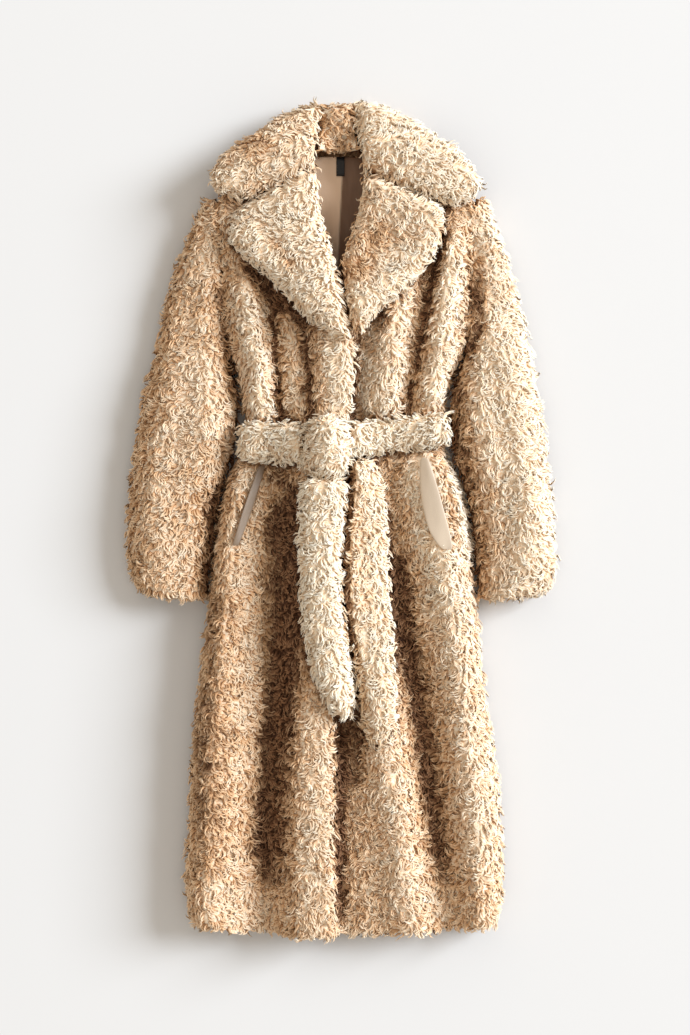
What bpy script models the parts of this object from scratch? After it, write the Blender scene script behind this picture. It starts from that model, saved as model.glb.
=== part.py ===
"""Long faux fur coat with a notched collar and a tied belt, lying on its back.

The coat lies with its hem towards -Y and its front towards +Z. Every cloth piece is a wall between an
under surface and an upper surface, because a laid garment is a stack of panels. The wall is as thick as
the curly pile reaches. "Right" and "left" are the wearer's, so the right side lies towards -X.
Tables are in millimetres: "up" is the distance above the hem line, the other columns are X, or heights.
"""

import bpy
import numpy as np
from mathutils import Vector
from mathutils.bvhtree import BVHTree

MM = 0.001

# Driving dimensions: places up the coat
LENGTH = 1224.0
SHOULDER_UP = 1172.0
UNDERARM_UP = 862.0
SLEEVE_TOP_UP = 1083.0
CUFF_UP = 491.0
WAIST_UP = 728.0

# Thicknesses, and the clearances between pieces
WALL = 14.0
RIM = 4.0
SATIN = 1.5
POCKET_SATIN = 2.0
LABEL_CLOTH = 1.0
SEAM = 0.3
REST = 0.75
OVERLAP_CLEAR = 1.0

# Heights of the stacked layers
BACK_TOP = WALL
FRONT_LEVEL = 36.0
HOLLOW_LEAST = 20.5

# Bow of the hem and of the cuffs: depth, and how far up it fades out
HEM_BOW = (16.0, 110.0)
HALF_HEM = 232.0
CUFF_BOW = (16.0, 60.0)

# Roundings: how far from an edge each one reaches. A blunt edge starts part of the way up its rounding
SIDE_ROUND = 28.0
SHOULDER_ROUND = 42.0
FRONT_EDGE_ROUND = 14.0
SLEEVE_ROUND = 60.0
SLEEVE_CAP_SHARE = 0.6
COLLAR_ROUND = 20.0
BLUNT = 2.0
END_BLUNT = 3.0
COLLAR_BLUNT = 4.0

# Lift of a flat under surface at its free edges: height, and how far in it reaches
BACK_LIFT = (5.0, 12.0)
SLEEVE_LIFT = (6.0, 14.0)

# Where the fronts close onto the back: distance from the seam at which this ends, and over which it eases
SIDE_CLOSING = (8.0, 26.0)
SHOULDER_CLOSING = (4.0, 40.0)
# Where the side and sleeve seams end at the underarm: distance below it, and over which this eases
UNDERARM_CLOSING = (26.0, 40.0)
# Dip of the fronts and sleeves along the armhole: depth, half width, and the distance over which it fades
ARMHOLE_DIP = (10.0, 16.0, 60.0)
ARMHOLE_DIP_END = 1050.0
SLEEVE_LINING_ROOM = (10.0, 6.0)

# Belt under the back: where it lies, how deep its groove is, and the room beside it
BELT_BACK = (702.0, 748.0)
BELT_GROOVE = 9.0
BELT_GROOVE_ROOM = 2.0
GROOVE_STEP = 1.0
GROOVE_ROW_ROOM = 4.0

# How finely the panels are divided, and how far round a point a laid piece feels for what is below it
PANEL_ROWS = 47
FRONT_COLUMNS = 19
BACK_COLUMNS = 8
SLEEVE_COLUMNS = 9
CELLS_FELT = 1.2
FEELERS = 9
SLACK_STEPS = 6

COLOURS = {
    "fur": (0.80, 0.66, 0.49),
    "belt_fur": (0.86, 0.75, 0.60),
    "satin": (0.53, 0.42, 0.33),
    "pocket_satin": (0.72, 0.62, 0.50),
    "label": (0.02, 0.02, 0.02),
}
ROUGHNESS = {"fur": 0.95, "belt_fur": 0.95, "satin": 0.45, "pocket_satin": 0.45, "label": 0.7}


def table(columns, *rows):
    """Named columns of a short table."""
    return dict(zip(columns.split(), np.array(rows, float).T))


BODY = table(
    "up right left",
    (0, -218, 230),
    (40, -227, 237),
    (77, -229, 238),
    (166, -224, 236),
    (255, -220, 227),
    (343, -212, 214),
    (403, -205, 206),
    (491, -194, 198),
    (551, -188, 192),
    (639, -176, 182),
    (684, -162, 164),
    (710, -146, 152),
    (728, -142, 148),
    (765, -143, 149),
    (810, -149, 158),
    (847, -160, 174),
    (876, -172, 187),
    (935, -175, 190),
    (1009, -177, 190),
    (1061, -181, 193),
    (1083, -182, 196),
    (1098, -176, 190),
    (1120, -160, 172),
    (1143, -140, 150),
    (1157, -122, 132),
    (1172, -98, 108),
)
# Front edge of each front below the break point, and roll line of its lapel above it
FRONT_EDGE = table(
    "up right left",
    (0, -10, -61),
    (320, -10, -61),
    (500, -4, -61),
    (743, 8, -54),
    (800, 15, -48),
    (866, 20, -40),
    (891, 12, -34),
    (935, 2, -20),
    (976, -8, -2),
    (1009, -15, 7),
    (1031, -22, 13),
    (1061, -30, 24),
    (1091, -33, 30),
    (1120, -36, 33),
    (1143, -38, 28),
    (1172, -41, 23),
)
SLEEVE_RIGHT = table(
    "up outer inner",
    (491, -296, -196),
    (506, -304, -196),
    (528, -313, -195),
    (551, -316, -192),
    (580, -317, -188),
    (639, -312, -180),
    (684, -307, -169),
    (710, -304, -159),
    (728, -301, -156),
    (765, -296, -152),
    (810, -286, -155),
    (847, -276, -165),
    (876, -269, -173),
    (935, -257, -175.3),
    (994, -239, -177.3),
    (1031, -224, -179),
    (1061, -209, -181.3),
    (1083, -198, -182.3),
)
SLEEVE_LEFT = table(
    "up outer inner",
    (491, 304, 201),
    (506, 310, 201),
    (528, 317, 199),
    (551, 317, 196),
    (595, 313, 192),
    (639, 310, 187),
    (684, 304, 171),
    (710, 301, 164),
    (743, 297, 162),
    (765, 294, 160),
    (810, 288, 165),
    (847, 282, 179),
    (876, 275, 188),
    (935, 260, 190.3),
    (980, 249, 190.3),
    (1024, 235, 191),
    (1061, 220, 193.3),
    (1083, 211, 196.3),
)
# Height of the sleeve's crown above the surface
SLEEVE_CROWN = table(
    "up height",
    (491, 50),
    (560, 58),
    (700, 62),
    (810, 61),
    (900, 56),
    (1000, 53),
    (1083, 46),
)
# Folds of the front panels: three points of a ridge or trough, its half width and its height
FOLDS = table(
    "up_a x_a up_b x_b up_c x_c half height",
    (690, -122, 817, -119, 1000, -150, 20, 20),
    (690, -92, 870, -98, 1010, -118, 9, -17),
    (690, -70, 830, -72, 940, -78, 12, 7),
    (690, -54, 800, -43, 940, -44, 13, -17),
    (690, -16, 800, -8, 930, 0, 17, 15),
    (690, 26, 800, 30, 940, 40, 12, -17),
    (690, 56, 830, 66, 1010, 84, 18, 17),
    (690, 86, 860, 105, 1030, 146, 12, -17),
    (690, 126, 850, 135, 1080, 168, 18, 18),
    (-100, -204, 300, -188, 760, -156, 30, 19),
    (-100, -118, 240, -106, 500, -84, 27, -19),
    (380, -94, 540, -79, 760, -66, 15, -19),
    (-100, -38, 250, -44, 760, -32, 20, 15),
    (-100, 3, 200, 5, 380, 9, 13, -12),
    (-100, 112, 150, 84, 440, 42, 22, 17),
    (-60, 160, 200, 131, 450, 92, 23, -19),
    (320, 99, 500, 81, 760, 62, 13, -18),
    (-100, 214, 300, 180, 760, 130, 27, 19),
    (560, -156, 630, -134, 705, -108, 9, -8),
    (550, 160, 620, 134, 712, 116, 14, -8),
)
FOLD_FADE = 70.0
# Folds of the sleeves, by the same columns
SLEEVE_FOLDS = table(
    "up_a x_a up_b x_b up_c x_c half height",
    (640, -262, 740, -238, 870, -200, 14, -11),
    (540, -285, 640, -272, 760, -262, 18, 6),
    (480, -226, 590, -236, 710, -246, 14, -8),
    (830, -236, 900, -222, 1010, -206, 13, -7),
    (640, 258, 745, 236, 880, 210, 14, -11),
    (540, 288, 640, 272, 760, 262, 18, 6),
    (480, 232, 590, 240, 710, 250, 14, -8),
    (830, 244, 900, 230, 1010, 214, 13, -7),
)
# The belt draws the waist in: depth, half height of the stretch, and the share by which it presses folds flat
WAIST_DIP = (-9.0, 36.0)
WAIST_PRESS = 0.8

LAPEL_RIGHT = table(
    "up low high",
    (870, 2, 12),
    (884, -20, 10),
    (906, -50, 7),
    (928, -72, 4),
    (950, -89, -1),
    (972, -112, -5),
    (991, -138, -10),
    (1009, -159, -15),
    (1031, -165, -22),
    (1046, -161, -26),
    (1061, -150, -30),
    (1075, -135, -32),
    (1090, -106, -33),
    (1105, -77, -35),
    (1120, -46, -37),
)
LAPEL_LEFT = table(
    "up low high",
    (882, 22, 28),
    (893, 17, 34),
    (909, 12, 46),
    (928, 8, 69),
    (938, 6, 87),
    (965, 1, 109),
    (978, -2, 122),
    (991, 1, 131),
    (1009, 7, 141),
    (1031, 13, 147),
    (1046, 19, 149),
    (1057, 23, 147),
    (1070, 26, 144),
    (1085, 29, 107),
    (1100, 32, 69),
    (1112, 33, 39),
)
COLLAR_RIGHT = table(
    "up low high",
    (1076, -153, -139),
    (1084, -170, -122),
    (1098, -192, -94),
    (1113, -190, -64),
    (1125, -183, -39),
    (1143, -171, -38),
    (1157, -150, -36),
    (1172, -125, -35),
    (1187, -107, -35),
    (1202, -87, -33),
    (1214, -61, -30),
    (1221, -42, -27),
)
COLLAR_LEFT = table(
    "up low high",
    (1069, 154, 166),
    (1077, 134, 184),
    (1087, 109, 200),
    (1098, 81, 205),
    (1113, 43, 201),
    (1120, 34, 196),
    (1143, 29, 175),
    (1165, 26, 147),
    (1187, 23, 118),
    (1202, 21, 90),
    (1214, 17, 69),
    (1223, 13, 42),
)
COLLAR_BACK = table(
    "up low high",
    (1147, -37, 27.5),
    (1172, -34.5, 24.5),
    (1187, -34.5, 22),
    (1202, -32.5, 20),
    (1214, -29.5, 16),
    (1223, -26, 12),
)
# Inner height of the collar's stand between the leaves
COLLAR_BACK_TOP = table("up height", (1147, 24), (1172, 36), (1200, 46), (1214, 44), (1223, 32))
COLLAR_FALL = table(
    "up low high",
    (1172.4, -118, 132),
    (1187, -104, 114),
    (1202, -84, 86),
    (1214, -58, 64),
    (1224, -24, 38),
)
COLLAR_FALL_TOP = 24.0
LINING = table("up low high", (930, -20, 26), (990, -34, 34), (1060, -52, 50), (1146, -58, 52))
LINING_PLEAT = (2.0, -5.0, 4.0)
LABEL = table("up low high", (1116, -7.5, 4.5), (1144, -7.5, 4.5))

BELT_RIGHT = table(
    "across low high", (-150, 698, 748), (-120, 695, 751), (-90, 694, 752), (-55.5, 690, 748)
)
BELT_LEFT = table(
    "across low high", (14.4, 703, 752), (50, 706, 754), (87, 712, 758), (130, 717, 763), (156.5, 720, 763)
)
BELT_KNOT = table(
    "up low high",
    (670, -34, -8),
    (674, -44, 2),
    (684, -51, 9),
    (706, -55.2, 14),
    (728, -55.2, 14),
    (746, -51, 9),
    (756, -42, -1),
    (761, -31, -12),
)
BELT_TAIL_RIGHT = table(
    "up low high",
    (325, -8, 14),
    (343, -20, 22),
    (366, -32, 20),
    (403, -44, 13),
    (447, -54, 7),
    (491, -58, 2),
    (551, -61, 1),
    (610, -61, 5),
    (670, -57, 8),
)
BELT_TAIL_LEFT = table(
    "up low high",
    (281, 46, 66),
    (306, 33, 80),
    (340, 29, 80),
    (366, 24, 78),
    (403, 18, 76),
    (447, 11, 74),
    (491, 5, 71),
    (551, 4, 68),
    (610, 8, 65),
    (660, 14, 60),
    (699, 16, 48),
)
POCKET_RIGHT = table("up low high", (572, -159, -149), (630, -141, -128), (690, -120, -110))
POCKET_LEFT = table(
    "up low high",
    (566, 146, 162),
    (588, 129, 159),
    (610, 122, 153),
    (632, 117, 147),
    (654, 114, 141),
    (680, 113, 133),
    (701, 115, 126),
)


def smooth(value):
    """0 below 0, 1 above 1, and an even S between them."""
    value = np.clip(value, 0.0, 1.0)
    return value * value * (3.0 - 2.0 * value)


def crown(value):
    """Quarter circle from 0 at an edge to 1 where the rounding ends."""
    value = 1.0 - np.clip(value, 0.0, 1.0)
    return np.sqrt(1.0 - value * value)


def follow(rows, column, at):
    """Smooth curve through a table's column, which turns level at each high and low point."""
    station = next(iter(rows.values()))
    value = rows[column]
    slope = np.diff(value) / np.diff(station)
    inner = np.where(slope[:-1] * slope[1:] > 0, (slope[:-1] + slope[1:]) / 2, 0.0)
    tangent = np.concatenate([slope[:1], inner, slope[-1:]])
    cell = np.clip(np.searchsorted(station, at) - 1, 0, len(station) - 2)
    width = station[cell + 1] - station[cell]
    t = np.clip((at - station[cell]) / width, 0.0, 1.0)
    bend = t * t * (3.0 - 2.0 * t)
    lean = width * (t * (1 - t) ** 2 * tangent[cell] - t * t * (1 - t) * tangent[cell + 1])
    return value[cell] * (1 - bend) + value[cell + 1] * bend + lean


def fold_height(folds, x, y):
    """Sum of a table's ridges and troughs at each point."""
    total = np.zeros_like(x)
    for i in range(len(folds["half"])):
        ups = [folds[k][i] for k in ("up_a", "up_b", "up_c")]
        path = np.interp(y, ups, [folds[k][i] for k in ("x_a", "x_b", "x_c")])
        fade = smooth((y - ups[0]) / FOLD_FADE) * smooth((ups[2] - y) / FOLD_FADE)
        total += folds["height"][i] * fade * np.exp(-(((x - path) / folds["half"][i]) ** 2))
    return total


def material(name):
    found = bpy.data.materials.get(name)
    if found:
        return found
    made = bpy.data.materials.new(name)
    made.use_nodes = True
    shader = made.node_tree.nodes["Principled BSDF"]
    shader.inputs["Base Color"].default_value = (*COLOURS[name], 1.0)
    shader.inputs["Roughness"].default_value = ROUGHNESS[name]
    made.diffuse_color = (*COLOURS[name], 1.0)
    return made


class Grid:
    """Points of a panel: rows at its stations, with columns closer together at the two sides."""

    def __init__(self, low, high, stations, columns, across=False, middle=0.5):
        even = np.linspace(0.0, 1.0, columns)
        ends = (1.0 - np.cos(np.pi * even)) / 2
        t = (1 - middle) * ends + middle * even
        side = low[:, None] + t[None, :] * (high - low)[:, None]
        along = np.repeat(stations[:, None], columns, axis=1)
        self.across = across
        self.x, self.y = (along, side) if across else (side, along)
        self.from_low = side - low[:, None]
        self.from_high = high[:, None] - side
        self.from_side = np.minimum(self.from_low, self.from_high)
        self.from_first = along - stations[0]
        self.from_last = stations[-1] - along
        self.from_end = np.minimum(self.from_first, self.from_last)
        self.cell = (np.max(np.diff(stations)), np.max(np.diff(t)) * np.max(high - low))
        if not across:
            self.cell = self.cell[::-1]


def wall(name, grid, under, over, finish):
    """One closed solid between the under and the upper surface of a grid."""
    rows, columns = grid.x.shape
    count = rows * columns
    points = [
        Vector((x, y - LENGTH / 2, z)) * MM
        for level in (over, under)
        for x, y, z in zip(grid.x.ravel(), grid.y.ravel(), level.ravel())
    ]
    faces = []
    for i in range(rows - 1):
        for j in range(columns - 1):
            corner = (i * columns + j, i * columns + j + 1, (i + 1) * columns + j + 1, (i + 1) * columns + j)
            faces.append(corner)
            faces.append(tuple(count + k for k in reversed(corner)))
    edge = [j for j in range(columns)]
    edge += [i * columns + columns - 1 for i in range(1, rows)]
    edge += [(rows - 1) * columns + j for j in range(columns - 2, -1, -1)]
    edge += [i * columns for i in range(rows - 2, 0, -1)]
    for a, b in zip(edge, edge[1:] + edge[:1]):
        faces.append((b, a, count + a, count + b))
    mesh = bpy.data.meshes.new(name)
    mesh.from_pydata(points, [], faces)
    if grid.across:
        mesh.flip_normals()
    mesh.shade_smooth()
    mesh.materials.append(material(finish))
    made = bpy.data.objects.new(name, mesh)
    bpy.context.collection.objects.link(made)
    return made


def tree(piece):
    mesh = piece.data
    mesh.calc_loop_triangles()
    corners = [tuple(t.vertices) for t in mesh.loop_triangles]
    return BVHTree.FromPolygons([v.co for v in mesh.vertices], corners)


def top_at(trees, x, y):
    """Height of the highest surface at a point, or None where there is none."""
    start = Vector((x, y - LENGTH / 2, 1000.0)) * MM
    hits = [lower.ray_cast(start, Vector((0, 0, -1)))[0] for lower in trees]
    return max((hit.z / MM for hit in hits if hit is not None), default=None)


def least_slack(grid, height, trees):
    """Smallest distance between an under surface and the pieces below it."""
    steps = np.linspace(0.0, 1.0, SLACK_STEPS)
    least = np.inf
    for i, j in np.ndindex(grid.x.shape[0] - 1, grid.x.shape[1] - 1):
        for a in steps:
            for b in steps:
                share = np.array([[(1 - a) * (1 - b), (1 - a) * b], [a * (1 - b), a * b]])
                x, y, z = (np.sum(share * v[i : i + 2, j : j + 2]) for v in (grid.x, grid.y, height))
                top = top_at(trees, x, y)
                if top is not None:
                    least = min(least, z - top)
    return least


def draped(grid, pieces, bare, taut=6, clear=REST):
    """Lowest under surface that clears the pieces below it, pulled taut over their steps."""
    trees = [tree(p) for p in pieces]
    steps = np.linspace(-CELLS_FELT, CELLS_FELT, FEELERS)
    height = np.full(grid.x.shape, float(bare))
    for index in np.ndindex(grid.x.shape):
        for a in steps:
            for b in steps:
                top = top_at(trees, grid.x[index] + a * grid.cell[0], grid.y[index] + b * grid.cell[1])
                if top is not None:
                    height[index] = max(height[index], top + clear)
    for _ in range(taut):
        padded = np.pad(height, 1, mode="edge")
        mean = (padded[:-2, 1:-1] + padded[2:, 1:-1] + padded[1:-1, :-2] + padded[1:-1, 2:]) / 4
        height = np.maximum(height, mean)
    return height - max(least_slack(grid, height, trees) - clear, 0.0)


def laid_on(name, outline, count, pieces, finish, thick, puff, bare=1.0, across=False, meets=None):
    """A crowned fur piece that lies on others, with all edges rounded but the end that meets a neighbour."""
    rows, columns = count
    station = next(iter(outline.values()))
    stations = np.linspace(station[0], station[-1], rows)
    low = follow(outline, "low", stations)
    high = follow(outline, "high", stations)
    grid = Grid(low, high, stations, columns, across)
    under = draped(grid, pieces, bare)
    from_end = {None: grid.from_end, "last": grid.from_first, "first": grid.from_last}[meets]
    rounding = crown((grid.from_side + BLUNT) / thick) * crown((from_end + END_BLUNT) / thick)
    half = (high - low)[:, None] / 2
    over = under + RIM + (thick - RIM) * rounding + puff * crown(grid.from_side / half) * rounding
    return wall(name, grid, under, over, finish)


def panel_stations(first, last):
    ups = np.linspace(0.0, SHOULDER_UP, PANEL_ROWS)
    step = ups[1]
    inside = ups[(ups > first + step / 3) & (ups < last - step / 3)]
    return np.concatenate([[first], inside, [last]])


def bowed_hem(grid):
    depth, reach = HEM_BOW
    grid.y = grid.y + depth * (grid.x / HALF_HEM) ** 2 * np.clip(1 - grid.y / reach, 0, 1)


def closing(distance, ends):
    """1 where a panel lies on the one below it near a seam, easing to 0 away from it."""
    start, ease = ends
    return 1 - smooth((distance - start) / ease)


def lifted(distance, lift):
    """Height of a flat under surface that curls up off the surface at a free edge."""
    height, reach = lift
    return height * (1 - crown(distance / reach))


def armhole_dip(up, from_seam):
    """Dip of a front or a sleeve along the armhole seam."""
    depth, half, fade = ARMHOLE_DIP
    along = smooth((up - UNDERARM_UP + fade / 2) / fade) * smooth((ARMHOLE_DIP_END - up) / fade)
    return depth * along * np.exp(-((from_seam / half) ** 2))


def back():
    """Back panel, flat on the surface, with a groove where the belt passes under it."""
    groove = (BELT_BACK[0] - BELT_GROOVE_ROOM, BELT_BACK[1] + BELT_GROOVE_ROOM)
    ups = panel_stations(0.0, SHOULDER_UP)
    ups = ups[(ups < groove[0] - GROOVE_ROW_ROOM) | (ups > groove[1] + GROOVE_ROW_ROOM)]
    extra = [groove[0] - GROOVE_STEP, groove[0], WAIST_UP, groove[1], groove[1] + GROOVE_STEP]
    ups = np.sort(np.concatenate([ups, extra]))
    grid = Grid(follow(BODY, "right", ups), follow(BODY, "left", ups), ups, BACK_COLUMNS)
    armhole = (grid.y > UNDERARM_UP) & (grid.y <= SLEEVE_TOP_UP)
    under = np.where(armhole, 0.0, lifted(grid.from_side, BACK_LIFT))
    under = np.where((grid.y >= groove[0]) & (grid.y <= groove[1]), BELT_GROOVE, under)
    over = np.full_like(under, BACK_TOP)
    bowed_hem(grid)
    return wall("back", grid, under, over, "fur")


def front(side, lower):
    """Front panel, closed onto the back at its side and shoulder seams only."""
    ups = panel_stations(0.0, SHOULDER_UP)
    outline = follow(BODY, side, ups)
    edge = follow(FRONT_EDGE, side, ups)
    low, high = (outline, edge) if side == "right" else (edge, outline)
    grid = Grid(low, high, ups, FRONT_COLUMNS, middle=0.7)
    from_seam = grid.from_low if side == "right" else grid.from_high
    from_edge = grid.from_high if side == "right" else grid.from_low
    up = grid.y.copy()
    bowed_hem(grid)
    depth, half = WAIST_DIP
    waist = np.exp(-(((up - WAIST_UP) / half) ** 2))
    folds = fold_height(FOLDS, grid.x, up) * (1 - WAIST_PRESS * waist)
    folds += depth * waist - armhole_dip(up, from_seam)
    sewn = closing(up - UNDERARM_UP, (-UNDERARM_CLOSING[0], UNDERARM_CLOSING[1]))
    to_shoulder = SHOULDER_UP - up
    closed = np.maximum(sewn * closing(from_seam, SIDE_CLOSING), closing(to_shoulder, SHOULDER_CLOSING))
    level = np.maximum(FRONT_LEVEL + folds, HOLLOW_LEAST)
    if lower:
        level = np.maximum(level, draped(grid, lower, 0.0, clear=OVERLAP_CLEAR))
    seam = BACK_TOP + SEAM
    under = level * (1 - closed) + seam * closed
    full = level + WALL
    side_round = 1 - sewn * (1 - crown(from_seam / SIDE_ROUND))
    over = seam + RIM + (full - seam - RIM) * side_round * crown(to_shoulder / SHOULDER_ROUND)
    over = under + RIM + (over - under - RIM) * crown((from_edge + BLUNT) / FRONT_EDGE_ROUND)
    over = np.maximum(over, under + RIM)
    return wall(f"front_{side}", grid, under, over, "fur")


def sleeve(side):
    """Two-piece sleeve: a flat under sleeve and an arched top sleeve that meet at the two long seams."""
    outline = SLEEVE_RIGHT if side == "right" else SLEEVE_LEFT
    ups = panel_stations(CUFF_UP, SLEEVE_TOP_UP)
    outer = follow(outline, "outer", ups)
    body = follow(BODY, side, ups)
    gap = -SEAM if side == "right" else SEAM
    inner = np.where(ups > UNDERARM_UP, body + gap, follow(outline, "inner", ups))
    low, high = (outer, inner) if side == "right" else (inner, outer)
    grid = Grid(low, high, ups, SLEEVE_COLUMNS)
    from_outer = grid.from_low if side == "right" else grid.from_high
    from_inner = grid.from_high if side == "right" else grid.from_low
    width = (high - low)[:, None]
    sewn = closing(grid.y - UNDERARM_UP, (-UNDERARM_CLOSING[0], UNDERARM_CLOSING[1]))

    inner_lift = np.where(grid.y > UNDERARM_UP, 0.0, lifted(from_inner, SLEEVE_LIFT))
    under = np.maximum(lifted(from_outer, SLEEVE_LIFT), inner_lift)
    over = np.full_like(under, BACK_TOP)
    height = follow(SLEEVE_CROWN, "height", grid.y) + fold_height(SLEEVE_FOLDS, grid.x, grid.y)
    height -= armhole_dip(grid.y, from_inner)
    depth, reach = CUFF_BOW
    grid.y = grid.y + depth * (from_inner / width) ** 3 * np.clip(1 - (grid.y - CUFF_UP) / reach, 0, 1)
    wall(f"sleeve_{side}_under", grid, under, over, "fur")

    seam = BACK_TOP + SEAM
    reach = np.minimum(width / 2, SLEEVE_ROUND) * (1 + SLEEVE_CAP_SHARE * (1 - sewn))
    room, shorter = SLEEVE_LINING_ROOM
    inside_reach = np.maximum(reach - shorter, shorter)
    outside = crown(from_outer / reach) * (1 - sewn * (1 - crown(from_inner / reach)))
    inside = crown((from_outer - room) / inside_reach)
    inside = inside * (1 - sewn * (1 - crown((from_inner - room) / inside_reach)))
    over = seam + RIM + (height - seam - RIM) * outside
    under = seam + np.maximum(height - WALL - seam, 0) * inside
    return wall(f"sleeve_{side}_top", grid, np.minimum(under, over - RIM), over, "fur")


def collar(carriers):
    """Fall on the surface behind the neck, the stand between the leaves, and the two leaves."""
    station = COLLAR_FALL["up"]
    ups = np.linspace(station[0], station[-1], 6)
    grid = Grid(follow(COLLAR_FALL, "low", ups), follow(COLLAR_FALL, "high", ups), ups, 10)
    from_top = station[-1] - grid.y
    rounding = crown((grid.from_side + COLLAR_BLUNT) / COLLAR_ROUND)
    rounding = rounding * crown((from_top + COLLAR_BLUNT) / COLLAR_ROUND)
    under = lifted(np.minimum(grid.from_side, from_top), SLEEVE_LIFT)
    over = under + RIM + (COLLAR_FALL_TOP - under - RIM) * rounding
    fall = wall("collar_fall", grid, under, over, "fur")

    station = COLLAR_BACK["up"]
    ups = np.linspace(station[0], station[-1], 9)
    grid = Grid(follow(COLLAR_BACK, "low", ups), follow(COLLAR_BACK, "high", ups), ups, 6)
    under = draped(grid, [*carriers, fall], 1.0, taut=0)
    over = np.maximum(follow(COLLAR_BACK_TOP, "height", grid.y), under + RIM)
    wall("collar_back", grid, under, over, "fur")

    below = [*carriers, fall]
    for side, outline in (("right", COLLAR_RIGHT), ("left", COLLAR_LEFT)):
        laid_on(f"collar_{side}", outline, (13, 9), below, "fur", thick=20, puff=7, bare=2.0)


def neck_lining(panel):
    """Satin lining of the back neck with its centre pleat, and the plain label sewn on it."""
    ups = np.linspace(LINING["up"][0], LINING["up"][-1], 9)
    grid = Grid(follow(LINING, "low", ups), follow(LINING, "high", ups), ups, 12, middle=1.0)
    height, place, half = LINING_PLEAT
    under = BACK_TOP + SEAM + height * np.exp(-(((grid.x - place) / half) ** 2))
    lining = wall("lining_back", grid, under, under + SATIN, "satin")
    grid = Grid(LABEL["low"], LABEL["high"], LABEL["up"], 4)
    under = draped(grid, [panel, lining], 0.0)
    wall("label", grid, under, under + LABEL_CLOTH, "label")
    return lining


def pocket(side, outline, panel):
    """Satin facing that shows in a slanted pocket mouth."""
    station = outline["up"]
    ups = np.linspace(station[0], station[-1], 9)
    grid = Grid(follow(outline, "low", ups), follow(outline, "high", ups), ups, 4)
    under = draped(grid, [panel], 0.0, taut=2)
    return wall(f"pocket_{side}", grid, under, under + POCKET_SATIN, "pocket_satin")


def belt(fronts):
    """Belt tied in one knot: a stretch on each side, one under the back, the knot and two tails."""
    ups = np.array(BELT_BACK)
    low = np.full(2, BELT_RIGHT["across"][0])
    high = np.full(2, BELT_LEFT["across"][-1])
    grid = Grid(low, high, ups, 12)
    flat = np.zeros_like(grid.x)
    belt_back = wall("belt_back", grid, flat, flat + BELT_GROOVE - SEAM, "belt_fur")
    below = [*fronts, belt_back]
    laid_on("belt_right", BELT_RIGHT, (9, 7), below, "belt_fur", thick=19, puff=5, across=True, meets="last")
    laid_on("belt_left", BELT_LEFT, (11, 7), below, "belt_fur", thick=19, puff=5, across=True, meets="first")
    laid_on("belt_knot", BELT_KNOT, (12, 9), fronts, "belt_fur", thick=32, puff=14)
    laid_on("belt_tail_right", BELT_TAIL_RIGHT, (20, 7), fronts, "belt_fur", thick=22, puff=6, meets="last")
    laid_on("belt_tail_left", BELT_TAIL_LEFT, (22, 7), fronts, "belt_fur", thick=19, puff=6, meets="last")


def coat():
    for old in list(bpy.data.objects):
        bpy.data.objects.remove(old, do_unlink=True)
    back_panel = back()
    lining = neck_lining(back_panel)
    front_left = front("left", [])
    front_right = front("right", [front_left])
    fronts = [front_left, front_right]
    sleeves = [sleeve("right"), sleeve("left")]
    laid_on("lapel_right", LAPEL_RIGHT, (16, 9), fronts, "fur", thick=20, puff=8)
    laid_on("lapel_left", LAPEL_LEFT, (16, 9), fronts, "fur", thick=20, puff=8)
    collar([*fronts, *sleeves, back_panel, lining])
    pocket("right", POCKET_RIGHT, front_right)
    pocket("left", POCKET_LEFT, front_left)
    belt(fronts)


coat()
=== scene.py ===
"""Looks of the faux fur coat: backing shells, curly pile, satin, label, and a plain studio.

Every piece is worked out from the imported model. A shell is the model's own wall, made finer, creased, and
drawn in by the depth of the pile. The pile is thousands of tapered curls that stand on the shells, so that
they reach the surface of the solids. Lengths are in metres, unless a comment says mm, and +Y runs from the
hem to the collar.
"""

import math

import bmesh
import bpy
import numpy as np
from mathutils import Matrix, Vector
from mathutils.bvhtree import BVHTree
from mathutils.kdtree import KDTree


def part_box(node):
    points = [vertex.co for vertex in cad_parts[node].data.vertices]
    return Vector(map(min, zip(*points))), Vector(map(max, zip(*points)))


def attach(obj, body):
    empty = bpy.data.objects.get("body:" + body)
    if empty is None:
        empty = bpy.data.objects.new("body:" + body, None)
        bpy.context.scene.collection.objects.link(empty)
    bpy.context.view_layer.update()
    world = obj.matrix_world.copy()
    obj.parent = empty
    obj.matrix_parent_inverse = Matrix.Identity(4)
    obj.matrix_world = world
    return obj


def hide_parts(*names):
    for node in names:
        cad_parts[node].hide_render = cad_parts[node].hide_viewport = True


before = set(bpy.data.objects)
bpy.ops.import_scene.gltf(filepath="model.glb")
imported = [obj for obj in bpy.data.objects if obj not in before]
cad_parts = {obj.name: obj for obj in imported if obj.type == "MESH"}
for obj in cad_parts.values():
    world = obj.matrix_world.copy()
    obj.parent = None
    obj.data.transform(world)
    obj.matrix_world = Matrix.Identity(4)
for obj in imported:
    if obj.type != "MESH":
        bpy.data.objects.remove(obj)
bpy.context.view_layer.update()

MM = 0.001
SEED = 11
# Half the coat's length in mm: a place's height above the hem, less this, is its Y
HALF_LENGTH = 612.0

# How far a shell draws in from its solid, to leave room for the pile, and how far on the underside, which is
# all that faces down below this height
PILE_INSET = 5.0 * MM
UNDERSIDE_INSET = 2.5 * MM
UNDERSIDE_TOP = 9.0 * MM
# Share of a wall's own thickness that its outer face may draw in, and its lower face
OUTER_SHARE = 0.6
UNDER_SHARE = 0.25
# A face is at a seam, and draws in straight down, if another piece is this near it and as high to within a
# share of that, and if the face itself isn't quite level
SEAM_REACH = 3.0 * MM
SEAM_LEVEL = 0.6
LEVEL_FACE = 0.95
# How far off its face a ray starts, so that it doesn't meet the face itself
OFF_FACE = 0.2 * MM
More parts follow.
